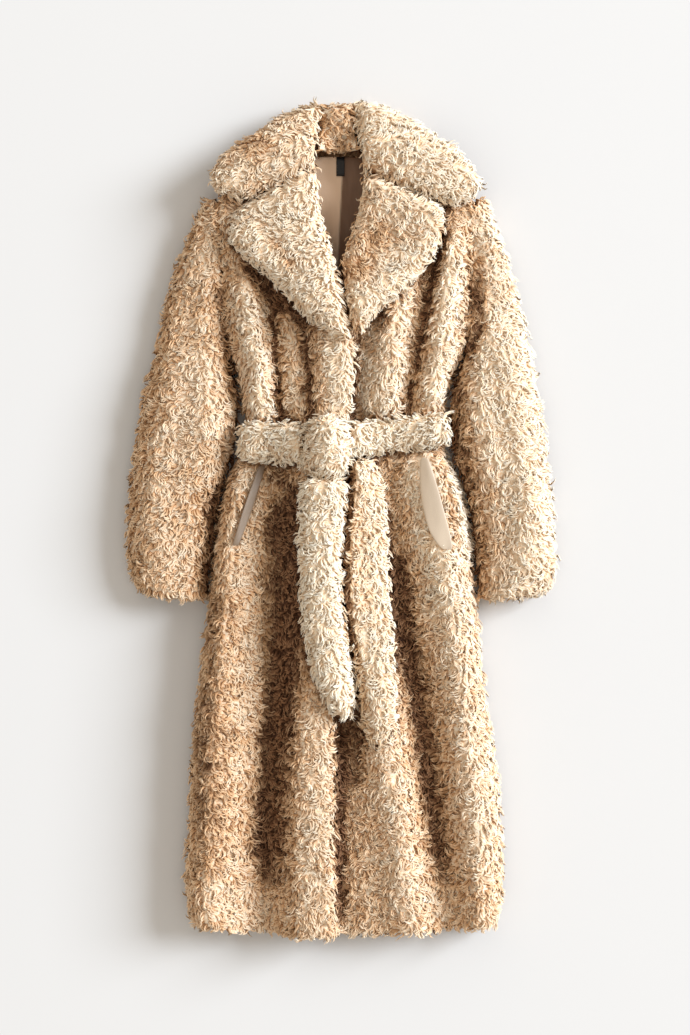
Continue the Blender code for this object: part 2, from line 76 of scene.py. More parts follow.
# Z of a normal from which a face is taken to look down or up
LOOKS_DOWN = -0.3
LOOKS_UP = 0.3
# At the sides of the shoulders the upper face of the coat's lower layer shows and has pile: height above the
# hem at which this starts, half the width inside which it has none there, how fast that narrows with height,
# and its middle, all in mm
SHOULDER_SIDE = (1070.0, 92.0, 0.45, 7.0)

# Spacing of the curls, and on the underside, with how many points are tried for each cell of a spread
CURL_CELL = 4.25 * MM
UNDERSIDE_CELL = 10.5 * MM
TRIES = 3.2
# A root has no pile if other cloth lies this near over it, looked for from a little above it
COVER_REACH = 9.0 * MM
COVER_START = 0.3 * MM
# The curls gather in locks: their spacing, how far a curl's tip is drawn to its lock's, how much the curls of
# a lock differ, how much painted shade browns those at its edge, between locks, and where that edge is as a
# share of the spacing
LOCK_CELL = 8.0 * MM
LOCK_PULL = 0.45
LOCK_STRAY = 0.20
LOCK_SHADE = 0.12
LOCK_EDGE = 0.6
# How far off their faces roots and locks are matched, so that the two faces of a thin wall share no lock
SIDE_REACH = 8.0 * MM
# On open cloth the pile lies flatter, and its curls are broader
OPEN_LEAN = math.radians(15)
OPEN_BREADTH = 0.22
# Most curls in one mesh, and the number of steps in the pile's tone
MOST_CURLS = 12000
TONES = 16

FUR_NODES = [
    "back",
    "front_right",
    "front_left",
    "sleeve_right_top",
    "sleeve_right_under",
    "sleeve_left_top",
    "sleeve_left_under",
    "collar_fall",
    "collar_back",
    "collar_right",
    "collar_left",
    "lapel_right",
    "lapel_left",
]
BELT_NODES = ["belt_back", "belt_right", "belt_left", "belt_knot", "belt_tail_right", "belt_tail_left"]
UNDER_NODES = ["back", "sleeve_right_under", "sleeve_left_under"]
FLOOR_NODES = [*UNDER_NODES, "collar_fall", "belt_back"]

# Way the pile lies on a piece, by X and Y. The rest lies straight down the coat.
NAP = {
    "collar_right": (-0.72, -0.69),
    "collar_left": (0.72, -0.69),
    "lapel_right": (-0.65, -0.76),
    "lapel_left": (0.65, -0.76),
    "sleeve_right_top": (-0.35, -0.94),
    "sleeve_right_under": (-0.30, -0.95),
    "sleeve_left_top": (0.25, -0.97),
    "sleeve_left_under": (0.25, -0.97),
    "collar_back": (0.1, -1.0),
}
DOWN_THE_COAT = (0.0, -1.0)


def smooth(value):
    """Eases from 0 to 1."""
    value = np.clip(value, 0.0, 1.0)
    return value * value * (3.0 - 2.0 * value)


def unit(vectors):
    """Each row as a vector of length 1."""
    return vectors / np.maximum(np.linalg.norm(vectors, axis=1), 1e-9)[:, None]


# Number of plane waves in a noise, how fine they are for its scale, and what their sum is divided by
WAVES = 6
WAVE_SPREAD = (0.6, 1.6)
WAVE_SUM = 3.0


def waves(points, scale, seed):
    """Slow even noise from -1 to 1 at each point, as a sum of a few plane waves about this long."""
    rng = np.random.default_rng(seed)
    total = np.zeros(len(points))
    for _ in range(WAVES):
        way = rng.normal(size=3)
        way /= np.linalg.norm(way)
        fine = 2 * math.pi / scale
        total += np.sin(points @ way * fine * rng.uniform(*WAVE_SPREAD) + rng.uniform(0, 6.28))
    return np.clip(total / WAVE_SUM, -1.0, 1.0)


def wavering(points, parts, level=0.0):
    """A level at each point with slow noises added, each given by its strength, its scale and its seed."""
    return sum((strength * waves(points, scale, seed) for strength, scale, seed in parts), level)


# ---------------------------------------------------------------- materials


def new_material(name):
    """A material with its node tree and its shader."""
    made = bpy.data.materials.new(name)
    made.use_nodes = True
    tree = made.node_tree
    return made, tree, tree.nodes["Principled BSDF"]


def ramp(tree, stops):
    """Colour ramp with a colour at each of these places from 0 to 1."""
    made = tree.nodes.new("ShaderNodeValToRGB")
    elements = made.color_ramp.elements
    while len(elements) < len(stops):
        elements.new(0.5)
    for element, (place, colour) in zip(elements, stops):
        element.position = place
        element.color = (*colour, 1.0)
    return made


# How much the satin's tone wavers
MOTTLE = 0.25
# Inputs and output of a Mix node that carry colours
MIX_A, MIX_B, MIXED = 6, 7, 2


def by_tone(tree, place, tone, looks):
    """Colour at a place on a curl or in the cloth, as the mix of deep, middle and bright for its tone, which
    holds painted shade and light.
    """
    colours = []
    for stops in looks:
        colours.append(ramp(tree, stops))
        tree.links.new(place, colours[-1].inputs["Fac"])
    last = colours[0].outputs["Color"]
    for colour, (low, high) in zip(colours[1:], ((0.0, 0.5), (0.5, 1.0))):
        share = tree.nodes.new("ShaderNodeMapRange")
        share.inputs["From Min"].default_value = low
        share.inputs["From Max"].default_value = high
        tree.links.new(tone, share.inputs["Value"])
        mix = tree.nodes.new("ShaderNodeMix")
        mix.data_type = "RGBA"
        tree.links.new(share.outputs["Result"], mix.inputs["Factor"])
        tree.links.new(last, mix.inputs[MIX_A])
        tree.links.new(colour.outputs["Color"], mix.inputs[MIX_B])
        last = mix.outputs[MIXED]
    return last


def curl_material(name, looks):
    """Pile whose colour runs from root to tip along V, and from brown to cream across U, by a tone that holds
    painted shade and light.
    """
    made, tree, shader = new_material(name)
    uv = tree.nodes.new("ShaderNodeUVMap")
    uv.uv_map = "OFBake"
    split = tree.nodes.new("ShaderNodeSeparateXYZ")
    tree.links.new(uv.outputs["UV"], split.inputs[0])
    colour = by_tone(tree, split.outputs["Y"], split.outputs["X"], looks)
    tree.links.new(colour, shader.inputs["Base Color"])
    shader.inputs["Roughness"].default_value = 0.6
    shader.inputs["Specular IOR Level"].default_value = 0.15
    return made


# Level of the noise at which the backing takes each of the pile's first three colours
MATTED = (0.36, 0.52, 0.70)


def backing_material(name, looks):
    """Matted roots of the pile on the knitted backing, painted browner with shade in the hollows, by the
    attribute "tone".
    """
    made, tree, shader = new_material(name)
    place = tree.nodes.new("ShaderNodeTexCoord")
    noise = tree.nodes.new("ShaderNodeTexNoise")
    noise.inputs["Scale"].default_value = 260.0
    noise.inputs["Detail"].default_value = 4.0
    tree.links.new(place.outputs["Object"], noise.inputs["Vector"])
    tone = tree.nodes.new("ShaderNodeAttribute")
    tone.attribute_name = "tone"
    matted = [[(place, stop[1]) for place, stop in zip(MATTED, stops)] for stops in looks]
    colour = by_tone(tree, noise.outputs["Fac"], tone.outputs["Fac"], matted)
    tree.links.new(colour, shader.inputs["Base Color"])
    bump = tree.nodes.new("ShaderNodeBump")
    bump.inputs["Strength"].default_value = 0.8
    bump.inputs["Distance"].default_value = 0.002
    tree.links.new(noise.outputs["Fac"], bump.inputs["Height"])
    tree.links.new(bump.outputs["Normal"], shader.inputs["Normal"])
    shader.inputs["Roughness"].default_value = 0.9
    return made


def satin_material(name, dark, light, sheen):
    """Satin weave with fine threads and a broad sheen, from dark to light by the attribute "tone", which on
    the lining and pockets holds painted shade.
    """
    made, tree, shader = new_material(name)
    place = tree.nodes.new("ShaderNodeTexCoord")
    stretch = tree.nodes.new("ShaderNodeMapping")
    stretch.inputs["Scale"].default_value = (4.0, 0.6, 1.0)
    tree.links.new(place.outputs["Object"], stretch.inputs["Vector"])
    mottle = tree.nodes.new("ShaderNodeTexNoise")
    mottle.inputs["Scale"].default_value = 14.0
    mottle.inputs["Detail"].default_value = 3.0
    tree.links.new(stretch.outputs["Vector"], mottle.inputs["Vector"])
    tone = tree.nodes.new("ShaderNodeAttribute")
    tone.attribute_name = "tone"
    level = tree.nodes.new("ShaderNodeMath")
    level.operation = "MULTIPLY_ADD"
    level.inputs[1].default_value = MOTTLE
    tree.links.new(mottle.outputs["Fac"], level.inputs[0])
    tree.links.new(tone.outputs["Fac"], level.inputs[2])
    colours = ramp(tree, [(MOTTLE / 2, dark), (1.0 + MOTTLE / 2, light)])
    tree.links.new(level.outputs[0], colours.inputs["Fac"])
    tree.links.new(colours.outputs["Color"], shader.inputs["Base Color"])
    threads = tree.nodes.new("ShaderNodeTexWave")
    threads.bands_direction = "DIAGONAL"
    threads.inputs["Scale"].default_value = 900.0
    threads.inputs["Distortion"].default_value = 0.4
    tree.links.new(place.outputs["Object"], threads.inputs["Vector"])
    bump = tree.nodes.new("ShaderNodeBump")
    bump.inputs["Strength"].default_value = 0.12
    bump.inputs["Distance"].default_value = 0.0003
    tree.links.new(threads.outputs["Fac"], bump.inputs["Height"])
    tree.links.new(bump.outputs["Normal"], shader.inputs["Normal"])
    shader.inputs["Roughness"].default_value = 0.42
    shader.inputs["Sheen Weight"].default_value = sheen
    shader.inputs["Sheen Roughness"].default_value = 0.35
    return made


# Colours of the pile: for hollows, painted with their shade, for open cloth, and for ridges, painted with
# their light; the place from root to tip and the colour there
COAT_LOOKS = [
    [
        (0.0, (0.045, 0.015, 0.006)),
        (0.4, (0.11, 0.042, 0.018)),
        (0.8, (0.33, 0.165, 0.080)),
        (1.0, (0.52, 0.30, 0.165)),
    ],
    [
        (0.0, (0.50, 0.240, 0.105)),
        (0.35, (0.73, 0.435, 0.225)),
        (0.7, (0.91, 0.635, 0.390)),
        (1.0, (0.95, 0.75, 0.52)),
    ],
    [
        (0.0, (0.94, 0.670, 0.420)),
        (0.35, (0.98, 0.80, 0.59)),
        (0.7, (0.98, 0.88, 0.72)),
        (1.0, (0.98, 0.91, 0.79)),
    ],
]
# The belt's pile: the coat's colours painted lighter, for the light that the belt catches
BELT_LOOKS = [
    [
        (0.0, (0.09, 0.034, 0.014)),
        (0.4, (0.24, 0.115, 0.052)),
        (0.8, (0.45, 0.25, 0.130)),
        (1.0, (0.58, 0.36, 0.21)),
    ],
    [
        (0.0, (0.64, 0.330, 0.150)),
        (0.35, (0.84, 0.56, 0.325)),
        (0.7, (0.94, 0.74, 0.51)),
        (1.0, (0.97, 0.82, 0.63)),
    ],
    [
        (0.0, (0.96, 0.700, 0.450)),
        (0.35, (0.98, 0.83, 0.63)),
        (0.7, (0.98, 0.90, 0.75)),
        (1.0, (0.98, 0.93, 0.83)),
    ],
]

coat_pile = curl_material("coat_pile", COAT_LOOKS)
belt_pile = curl_material("belt_pile", BELT_LOOKS)
coat_backing = backing_material("coat_backing", COAT_LOOKS)
belt_backing = backing_material("belt_backing", BELT_LOOKS)
lining_satin = satin_material("lining_satin", (0.17, 0.080, 0.036), (0.95, 0.70, 0.50), 0.2)
pocket_satin = satin_material("pocket_satin", (0.21, 0.14, 0.088), (0.88, 0.73, 0.56), 0.2)
label_cloth = satin_material("label_cloth", (0.004, 0.004, 0.005), (0.008, 0.008, 0.009), 0.0)


# ---------------------------------------------------------------- creases

# Main creases and ridges of the cloth, by piece: the places that each runs through by X and by height above
# the hem in mm, its half width, how far it sinks in mm (a ridge rises, so less than zero), and how much
# painted shade darkens the pile in it; below zero, painted light brightens it, as on ridges and on cloth in
# the shade of the next fold
CREASES = {
    "front_right": [
        ([(-104, 990), (-98, 870), (-90, 742)], 6, 4.5, 1.40),
        ([(-55, 940), (-46, 820), (-40, 735)], 7, 4.5, 1.40),
        ([(-80, 955), (-70, 850), (-64, 745)], 16, -1.5, -0.10),
        ([(-146, 960), (-130, 850), (-110, 745)], 14, -2.5, -0.45),
        ([(-10, 915), (-3, 830), (0, 745)], 15, -2.5, -0.60),
        ([(-152, 1000), (-120, 962), (-80, 922), (-44, 890)], 13, 1.5, 0.85),
        ([(-186, 985), (-178, 880), (-156, 780)], 8, 3.0, 0.80),
        ([(-84, 690), (-74, 520), (-88, 350), (-104, 210), (-112, 40)], 28, 3.5, 1.10),
        ([(-64, 690), (-62, 560), (-72, 450)], 12, 2.0, 0.55),
        ([(-52, 400), (-37, 250), (-31, 30)], 20, -2.5, -0.10),
        ([(-165, 560), (-182, 350), (-196, 60)], 26, -2.0, 0.32),
        ([(-150, 640), (-148, 600), (-160, 540)], 9, 1.5, 0.25),
        ([(-104, 640), (-108, 560), (-120, 470)], 14, 1.5, 0.30),
        ([(-10, 335), (-9, 180), (-7, 12)], 5, 2.5, 1.00),
    ],
    "front_left": [
        ([(22, 890), (17, 810), (13, 742)], 6, 4.0, 1.20),
        ([(12, 905), (48, 930), (80, 962)], 9, 1.0, 0.55),
        ([(104, 715), (120, 640), (140, 565), (158, 470)], 15, -4.5, -1.20),
        ([(140, 705), (158, 640), (168, 560)], 3, 2.0, 0.80),
        ([(150, 735), (163, 690), (177, 630), (187, 540)], 11, -1.0, -1.60),
        ([(46, 915), (42, 820), (38, 748)], 18, -4.5, -0.60),
        ([(92, 960), (82, 860), (72, 757)], 13, -2.5, -0.35),
        ([(152, 1052), (125, 900), (92, 757)], 7, 4.5, 1.15),
        ([(164, 1030), (150, 900), (128, 752)], 15, -2.5, -0.40),
        ([(192, 1000), (198, 900), (184, 845)], 8, 3.0, 0.90),
        ([(26, 330), (20, 280), (14, 215)], 18, 1.5, 0.45),
        ([(62, 300), (72, 160), (92, 20)], 26, -2.5, -0.10),
        ([(-1, 335), (-2, 180), (-3, 12)], 8, 2.5, 1.20),
        ([(80, 600), (91, 445), (118, 303), (134, 180), (152, 60)], 21, 3.5, 0.84),
        ([(66, 640), (68, 540), (76, 420)], 9, 2.0, 0.50),
        ([(128, 640), (160, 430), (188, 250), (208, 60)], 24, -2.0, -0.15),
    ],
    "sleeve_right_top": [
        ([(-187, 975), (-180, 880), (-158, 780)], 9, 1.5, 0.40),
        ([(-214, 880), (-208, 800), (-214, 720)], 24, -2.0, -0.15),
        ([(-290, 762), (-270, 752), (-252, 756)], 8, 2.0, 0.25),
        ([(-284, 700), (-262, 690)], 7, 1.5, 0.20),
        ([(-190, 680), (-196, 600), (-206, 500)], 15, 1.5, 0.45),
    ],
    "sleeve_left_top": [
        ([(194, 1000), (204, 895), (188, 840)], 9, 2.5, 0.90),
        ([(186, 850), (176, 770), (182, 690), (198, 610), (210, 490)], 17, 1.0, 0.42),
        ([(222, 700), (230, 620), (240, 520)], 12, 1.5, 0.15),
        ([(214, 960), (236, 840), (258, 700), (290, 540)], 28, -2.0, -0.40),
    ],
    "lapel_right": [
        ([(-120, 1056), (-92, 1010), (-62, 966)], 7, 2.0, 0.45),
        ([(-152, 1037), (-100, 960), (-42, 898)], 12, -1.5, -0.25),
    ],
    "lapel_left": [
        ([(66, 1056), (40, 1010), (12, 950)], 19, 2.0, 0.62),
        ([(138, 1029), (80, 960), (6, 905)], 14, -2.5, -0.45),
    ],
    "collar_right": [
        ([(-150, 1110), (-110, 1100), (-60, 1085)], 12, 1.5, 0.15),
        ([(-140, 1142), (-118, 1150), (-96, 1166)], 15, 2.0, 0.50),
    ],
    "collar_left": [
        ([(28, 1140), (62, 1116), (96, 1082)], 16, 2.0, 0.42),
    ],
    "belt_right": [
        ([(-120, 722), (-90, 716)], 8, 1.0, 0.25),
    ],
    "belt_left": [
        ([(60, 716), (90, 722), (104, 718)], 8, 1.0, 0.20),
    ],
    "belt_tail_left": [
        ([(24, 640), (30, 540), (36, 470)], 8, 1.0, 0.25),
        ([(14, 695), (8, 600), (5, 550), (5, 500), (10, 450), (20, 390)], 9, 3.0, 1.30),
    ],
    "belt_tail_right": [
        ([(9, 675), (5, 600), (1, 550), (2, 500), (6, 450), (15, 390)], 6, 3.0, 0.90),
    ],
    "back": [
        ([(-96, 640), (-110, 400), (-130, 90)], 26, 1.5, 0.20),
        ([(10, 690), (0, 420), (14, 60)], 20, 1.0, 0.15),
        ([(100, 600), (128, 350), (150, 110)], 24, 1.5, 0.20),
        ([(-60, 980), (-40, 880), (-46, 770)], 14, 1.5, 0.25),
        ([(70, 960), (52, 860), (60, 780)], 16, 1.5, 0.25),
    ],
    "sleeve_right_under": [
        ([(-268, 770), (-240, 750), (-214, 756)], 10, 1.5, 0.20),
        ([(-250, 610), (-226, 600)], 9, 1.0, 0.15),
    ],
    "sleeve_left_under": [
        ([(206, 756), (236, 748), (262, 766)], 10, 1.5, 0.20),
        ([(240, 640), (266, 626)], 9, 1.0, 0.15),
    ],
}
# Share of its length over which a crease sets in at each end, and how uneven creases are
CREASE_FADE = 0.16
CREASE_WAVES = ((0.3, 0.07, 21),)
# Pile is combed into a broad hollow and off a ridge, but away from a furrow of at most this half width in mm,
# which shows dark
CREASE_DRAG = 1.3
NARROW = 9


def from_line(line, points):
    """How far each point is from a line, the way from it, and the share of the line passed there."""
    steps = np.diff(line, axis=0)
    sizes = np.linalg.norm(steps, axis=1)
    starts = np.concatenate([[0.0], np.cumsum(sizes)[:-1]])
    nearest = np.full(len(points), np.inf)
    offset = np.zeros((len(points), 2))
    along = np.zeros(len(points))
    for start, step, size, before in zip(line[:-1], steps, sizes, starts):
        share = np.clip((points[:, :2] - start) @ step / size**2, 0.0, 1.0)
        away = points[:, :2] - start - share[:, None] * step
        distance = np.linalg.norm(away, axis=1)
        closer = distance < nearest
        nearest[closer] = distance[closer]
        offset[closer] = away[closer]
        along[closer] = ((before + share * size) / sizes.sum())[closer]
    return nearest, offset, along


def creased(node, points):
    """How far the creases sink each point, how much painted shade darkens it there, and the way they comb the
    pile.
    """
    depth = np.zeros(len(points))
    dark = np.zeros(len(points))
    drag = np.zeros((len(points), 3))
    uneven = wavering(points, CREASE_WAVES, 1.0)
    for places, half, sink, shade in CREASES.get(node, []):
        line = np.array([(x, up - HALF_LENGTH) for x, up in places]) * MM
        nearest, offset, along = from_line(line, points)
        fade = smooth(np.minimum(along, 1.0 - along) / CREASE_FADE)
        wide = nearest / (half * MM)
        strength = np.exp(-(wide**2)) * fade * uneven
        depth += sink * MM * strength
        dark += shade * strength
        pull = math.copysign(CREASE_DRAG, sink if half <= NARROW else -sink) * strength * wide
        drag[:, :2] += offset / np.maximum(nearest, 1e-6)[:, None] * pull[:, None]
    return depth, dark, drag


# ---------------------------------------------------------------- shells

# Corners nearer than this are one, and triangles are joined to quads up to this bend and this skew
WELD = 0.01 * MM
MOST_BEND = math.radians(50)
MOST_SKEW = math.radians(60)


def finer(node, name, levels, rounding="CATMULL_CLARK"):
    """The node's wall as its own smooth mesh, with its triangles joined to quads first."""
    made = bpy.data.objects.new(name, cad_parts[node].data.copy())
    bpy.context.scene.collection.objects.link(made)
    work = bmesh.new()
    work.from_mesh(made.data)
    bmesh.ops.remove_doubles(work, verts=work.verts, dist=WELD)
    bmesh.ops.join_triangles(
        work,
        faces=work.faces,
        angle_face_threshold=MOST_BEND,
        angle_shape_threshold=MOST_SKEW,
    )
    work.to_mesh(made.data)
    work.free()
    step = made.modifiers.new("finer", "SUBSURF")
    step.subdivision_type = rounding
    step.levels = step.render_levels = levels
    seen = made.evaluated_get(bpy.context.evaluated_depsgraph_get())
    mesh = bpy.data.meshes.new_from_object(seen)
    made.modifiers.clear()
    old = made.data
    made.data = mesh
    bpy.data.meshes.remove(old)
    mesh.materials.clear()
    mesh.shade_smooth()
    return made


def arrays(mesh):
    """Corners and normals of a mesh, one row each."""
    points = np.empty(len(mesh.vertices) * 3, np.float32)
    mesh.vertices.foreach_get("co", points)
    normals = np.empty(len(mesh.vertices) * 3, np.float32)
    mesh.vertex_normals.foreach_get("vector", normals)
    return points.reshape(-1, 3).astype(float), normals.reshape(-1, 3).astype(float)


def triangles_of(mesh):
    """Numbers of the three corners of each triangle."""
    mesh.calc_loop_triangles()
    corners = np.empty(len(mesh.loop_triangles) * 3, np.int32)
    mesh.loop_triangles.foreach_get("vertices", corners)
    return corners.reshape(-1, 3)


def tree_of(mesh):
    """Search tree of one mesh."""
    return BVHTree.FromPolygons([v.co.copy() for v in mesh.vertices], triangles_of(mesh).tolist())


def joined_tree(meshes):
    """One search tree over several meshes, and the number of the mesh that each triangle is from."""
    points, corners, owner = [], [], []
    for number, mesh in enumerate(meshes):
        corners.append(triangles_of(mesh) + sum(map(len, points)))
        owner.append(np.full(len(corners[-1]), number))
        points.append(arrays(mesh)[0])
    found = BVHTree.FromPolygons(np.concatenate(points).tolist(), np.concatenate(corners).tolist())
    return found, np.concatenate(owner)


def draw_in(node, shell, others):
    """Moves a shell's outer surface in by the depth of the pile and its creases, but not across its seams."""
    points, normals = arrays(shell.data)
    own = tree_of(shell.data)
    moved = points.copy()
    sink = creased(node, points)[0]
    for i, (point, normal) in enumerate(zip(points, normals)):
        p, n = Vector(point), Vector(normal)
        behind = own.ray_cast(p - n * OFF_FACE, -n)[3]
        behind = behind if behind is not None else PILE_INSET
        room = OUTER_SHARE * behind
        if n.z < LOOKS_DOWN:
            room = UNDER_SHARE * behind
            depth = UNDERSIDE_INSET + max(sink[i], 0.0) if p.z < UNDERSIDE_TOP else 0.0
            moved[i] = p - n * min(depth, room)
            continue
        near = min((t.find_nearest(p, SEAM_REACH) for t in others), key=lambda h: h[3] or 1.0)
        level = near[0] is not None and abs(near[0].z - p.z) < SEAM_LEVEL * SEAM_REACH
        at_seam = level and abs(n.z) < LEVEL_FACE
        way = Vector((0, 0, 1)) if at_seam else n
        if at_seam:
            below = own.ray_cast(p - way * OFF_FACE, -way)[3]
            room = min(room, OUTER_SHARE * (below if below is not None else 0.0))
        moved[i] = p - way * min(PILE_INSET + sink[i], room)
    shell.data.vertices.foreach_set("co", moved.astype(np.float32).ravel())
    shell.data.update()


# ---------------------------------------------------------------- pile

# Each kind of pile: length and radius of a curl in mm, the tilt of its root and of its tip from the normal in
# degrees, how far it turns round the normal in radians, and how bright it is painted, the belt's lighter for
# the light that it catches
PILES = {
    "coat": {
        "length": 14.0,
        "radius": 1.75,
        "root": (28, 50),
        "tip": (98, 138),
        "turn": (1.6, 3.5),
        "tone": -0.10,
    },
    "belt": {
        "length": 14.0,
        "radius": 1.75,
        "root": (28, 50),
        "tip": (94, 132),
        "turn": (1.6, 3.5),
        "tone": 0.02,
    },
}
# Pieces whose pile is painted lighter or darker than the rest, for the light or shade that they lie in
PAINTED_PIECE_LIGHT = {
    "front_right": -0.12,
    "front_left": -0.14,
    "sleeve_right_top": -0.16,
    "sleeve_left_top": 0.04,
    "collar_left": 0.42,
    "collar_back": -0.32,
    "lapel_right": 0.24,
    "lapel_left": 0.06,
    "belt_right": 0.10,
    "belt_left": 0.75,
    "belt_tail_right": 0.40,
    "belt_tail_left": -0.14,
}
# Pieces sewn or lying edge to edge, whose pile grows toward each other, and how much painted light brightens
# it there; below zero, painted shade darkens the gap
NEIGHBOURS = [
    ("collar_right", "lapel_right", 0.50),
    ("collar_left", "lapel_left", 0.50),
    ("collar_back", "collar_right", 0.35),
    ("collar_back", "collar_left", 0.0),
    ("belt_right", "belt_knot", 0.35),
    ("belt_left", "belt_knot", 0.35),
    ("belt_knot", "belt_tail_right", 0.45),
    ("belt_knot", "belt_tail_left", 0.20),
    ("sleeve_right_under", "back", -0.50),
    ("sleeve_left_under", "back", -0.50),
    ("sleeve_right_top", "front_right", -0.15),
    ("sleeve_left_top", "front_left", -0.15),
    ("front_right", "front_left", -0.10),
]
# How near an edge this starts, and how far the pile there is combed over it, longer, and lifted
NEIGHBOUR_REACH = 13.0 * MM
NEIGHBOUR_PULL = 0.8
NEIGHBOUR_LENGTH = 0.35
NEIGHBOUR_LIFT = 0.3
# How much painted shade browns the pile where the cloth faces the viewer's left, away from the key light, and
# its share left over satin
LEE_SHADE = 0.22
OVER_SATIN = 0.16
# How the tone wavers over a piece, and how much it strays from lock to lock and from curl to curl
TONE_WAVES = ((0.06, 0.11, 5), (0.10, 0.036, 6))
LOCK_TONES = 0.06
CURL_TONES = 0.04
# How the nap swirls over a piece in radians, and how much it strays from lock to lock
SWIRL_WAVES = ((0.7, 0.045, 3), (0.35, 0.12, 4))
SWIRL_STRAY = 0.35
# Stretches of the belt whose pile lies away from their middle, and how strongly
FANNED = ("belt_tail_right", "belt_tail_left", "belt_knot")
FAN = 2.6
# Locks curl to the right or left by region: the regions' size and seed, and how much that strays
HAND_WAVES = (0.030, 7)
HAND_STRAY = 0.5
# Least and most of a lock's length and of a curl's radius, times the common one, of how far a lock is turned
# at its root in radians, and of a curl's length times its lock's, and how much a curl's tilt strays
LENGTHS = (0.75, 1.22)
RADII = (0.72, 1.28)
STARTS = (0.2, 1.1)
OWN_LENGTHS = (0.85, 1.12)
LEAN_STRAY = 0.4 * LOCK_STRAY
# How deep in its shell a curl has its root, and on the floor, where it stands off it and lies quite flat
ROOT_DEPTH = 0.6 * MM
FLOOR_DEPTH = -1.0 * MM
FLOOR_LEAN = math.radians(88)
# Some locks stand out of the rest: their share, what they are times a common one's length and radius, and the
# tilt of their tips in degrees
LONG_SHARE = 0.2
LONG_LENGTH = 1.3
LONG_RADIUS = 0.75
LONG_TIP = (88, 115)
# A curl's rings and its sides, each ring's width as a share of its radius, its thickness as a share of that,
# and how early it tilts from root to tip
RINGS = 3
SIDES = 3
RING_WIDTHS = np.array([0.75, 1.1, 0.85])
FLATNESS = 0.65
TILT_EASE = 0.8
# Place in the colours at a curl's root, how much further its tip is, and the least and the most of it
V_ROOT = 0.04
V_LENGTH = 0.92
V_ENDS = (0.02, 0.98)
# How much browner a curl's lower flanks are painted than its back, as painted shade, the most of the cloth's
# own normal in its shading, and how far round its flank that reaches
FLANK_SHADE = 0.14
FORM_SHARE = 0.78
FORM_REACH = 0.6
# Pile at the coat's sides is shaded as if the cloth faced up by at least this much, unless it faces almost
# straight down
LEAST_LIT = 0.35
UNDERMOST = -0.9
# Share of the sky seen at which the pile is painted quite brown with the shade of a hollow, and at which it
# is painted quite bright with open light
SKY_BROWN = 0.22
SKY_BRIGHT = 0.95
# Part of a crease's painted shade that goes into the colour, with the light left to do the rest
CREASE_SHADE_SHARE = 0.9
# Directions in which the sky is looked for, how far, and how much in front of its face one has to be
SKY = [
    (math.cos(turn) * math.cos(rise), math.sin(turn) * math.cos(rise), math.sin(rise))
    for rise, count in ((math.radians(18), 6), (math.radians(42), 5), (math.radians(72), 3))
    for turn in np.arange(count) * 2 * math.pi / count + rise
]
SKY_REACH = 70.0 * MM
SKY_GRAZE = 0.1
# Height from which a look straight down meets the whole coat
ABOVE_ALL = 1.0
# How much the pile at a piece's edges is combed outward, and how much less its tips lie down
EDGE_DRAG = 0.9
EDGE_LIFT = 0.28


def scatter(mesh, cell, rng):
    """Even spread of points over a mesh: about one in each cell, with its normal."""
    corners = triangles_of(mesh)
    points, normals = arrays(mesh)
    a, b, c = (points[corners[:, k]] for k in range(3))
    area = np.linalg.norm(np.cross(b - a, c - a), axis=1) / 2
    tries = int(TRIES * area.sum() / cell**2)
    chosen = rng.choice(len(corners), size=tries, p=area / area.sum())
    u, v = rng.random(tries), rng.random(tries)
    over = u + v > 1
    u[over], v[over] = 1 - u[over], 1 - v[over]
    ends = corners[chosen]
    shares = (1 - u - v, u, v)
    place = sum(points[ends[:, k]] * s[:, None] for k, s in enumerate(shares))
    facing = unit(sum(normals[ends[:, k]] * s[:, None] for k, s in enumerate(shares)))
    keys = np.floor(place / cell).astype(np.int64)
    first = np.sort(np.unique(keys, axis=0, return_index=True)[1])
    return place[first], facing[first]


def uncovered(roots, normals, tree):
    """Which roots have room for pile above them."""
    free = np.ones(len(roots), bool)
    for i, (root, normal) in enumerate(zip(roots, normals)):
        n = Vector(normal)
        free[i] = tree.ray_cast(Vector(root) + n * COVER_START, n, COVER_REACH)[0] is None
    return free


def openness(roots, normals, tree):
    """Share of the sky in front of it that each root sees."""
    seen = np.zeros(len(roots))
    ways = [Vector(way) for way in SKY]
    for i, (root, normal) in enumerate(zip(roots, normals)):
        n = Vector(normal)
        start = Vector(root) + n * PILE_INSET
        over = [way for way in ways if way.dot(n) > SKY_GRAZE]
        seen[i] = sum(tree.ray_cast(start, way, SKY_REACH)[0] is None for way in over) / max(len(over), 1)
    return seen


def sky_painted_tone(sky):
    """Painted shade and light of the pile by its openness: brown in hollows, cream on ridges."""
    return smooth((sky - SKY_BROWN) / (SKY_BRIGHT - SKY_BROWN))


def beside(node, roots, trees):
    """How close each root is to a neighbour's edge, the way to it, and the painted light (above zero) and
    shade (below) that the pile has there.
    """
    close = np.zeros(len(roots))
    toward = np.zeros((len(roots), 3))
    tone = np.zeros(len(roots))
    for one, other, shade in NEIGHBOURS:
        if node not in (one, other):
            continue
        tree = trees[other if node == one else one]
        for i, root in enumerate(roots):
            place, _, _, distance = tree.find_nearest(Vector(root), NEIGHBOUR_REACH)
            if place is None or 1.0 - distance / NEIGHBOUR_REACH <= close[i]:
                continue
            close[i] = 1.0 - distance / NEIGHBOUR_REACH
            toward[i] = (np.array(place) - root) / max(distance, 1e-6)
            tone[i] = shade * close[i]
    return close, toward, tone


def at_shoulder(roots):
    """Which roots of the lower layer lie in the open at the side of a shoulder."""
    start, half, narrowing, middle = SHOULDER_SIDE
    above = roots[:, 1] / MM + HALF_LENGTH - start
    return (above > 0) & (np.abs(roots[:, 0] / MM - middle) > half - narrowing * above)


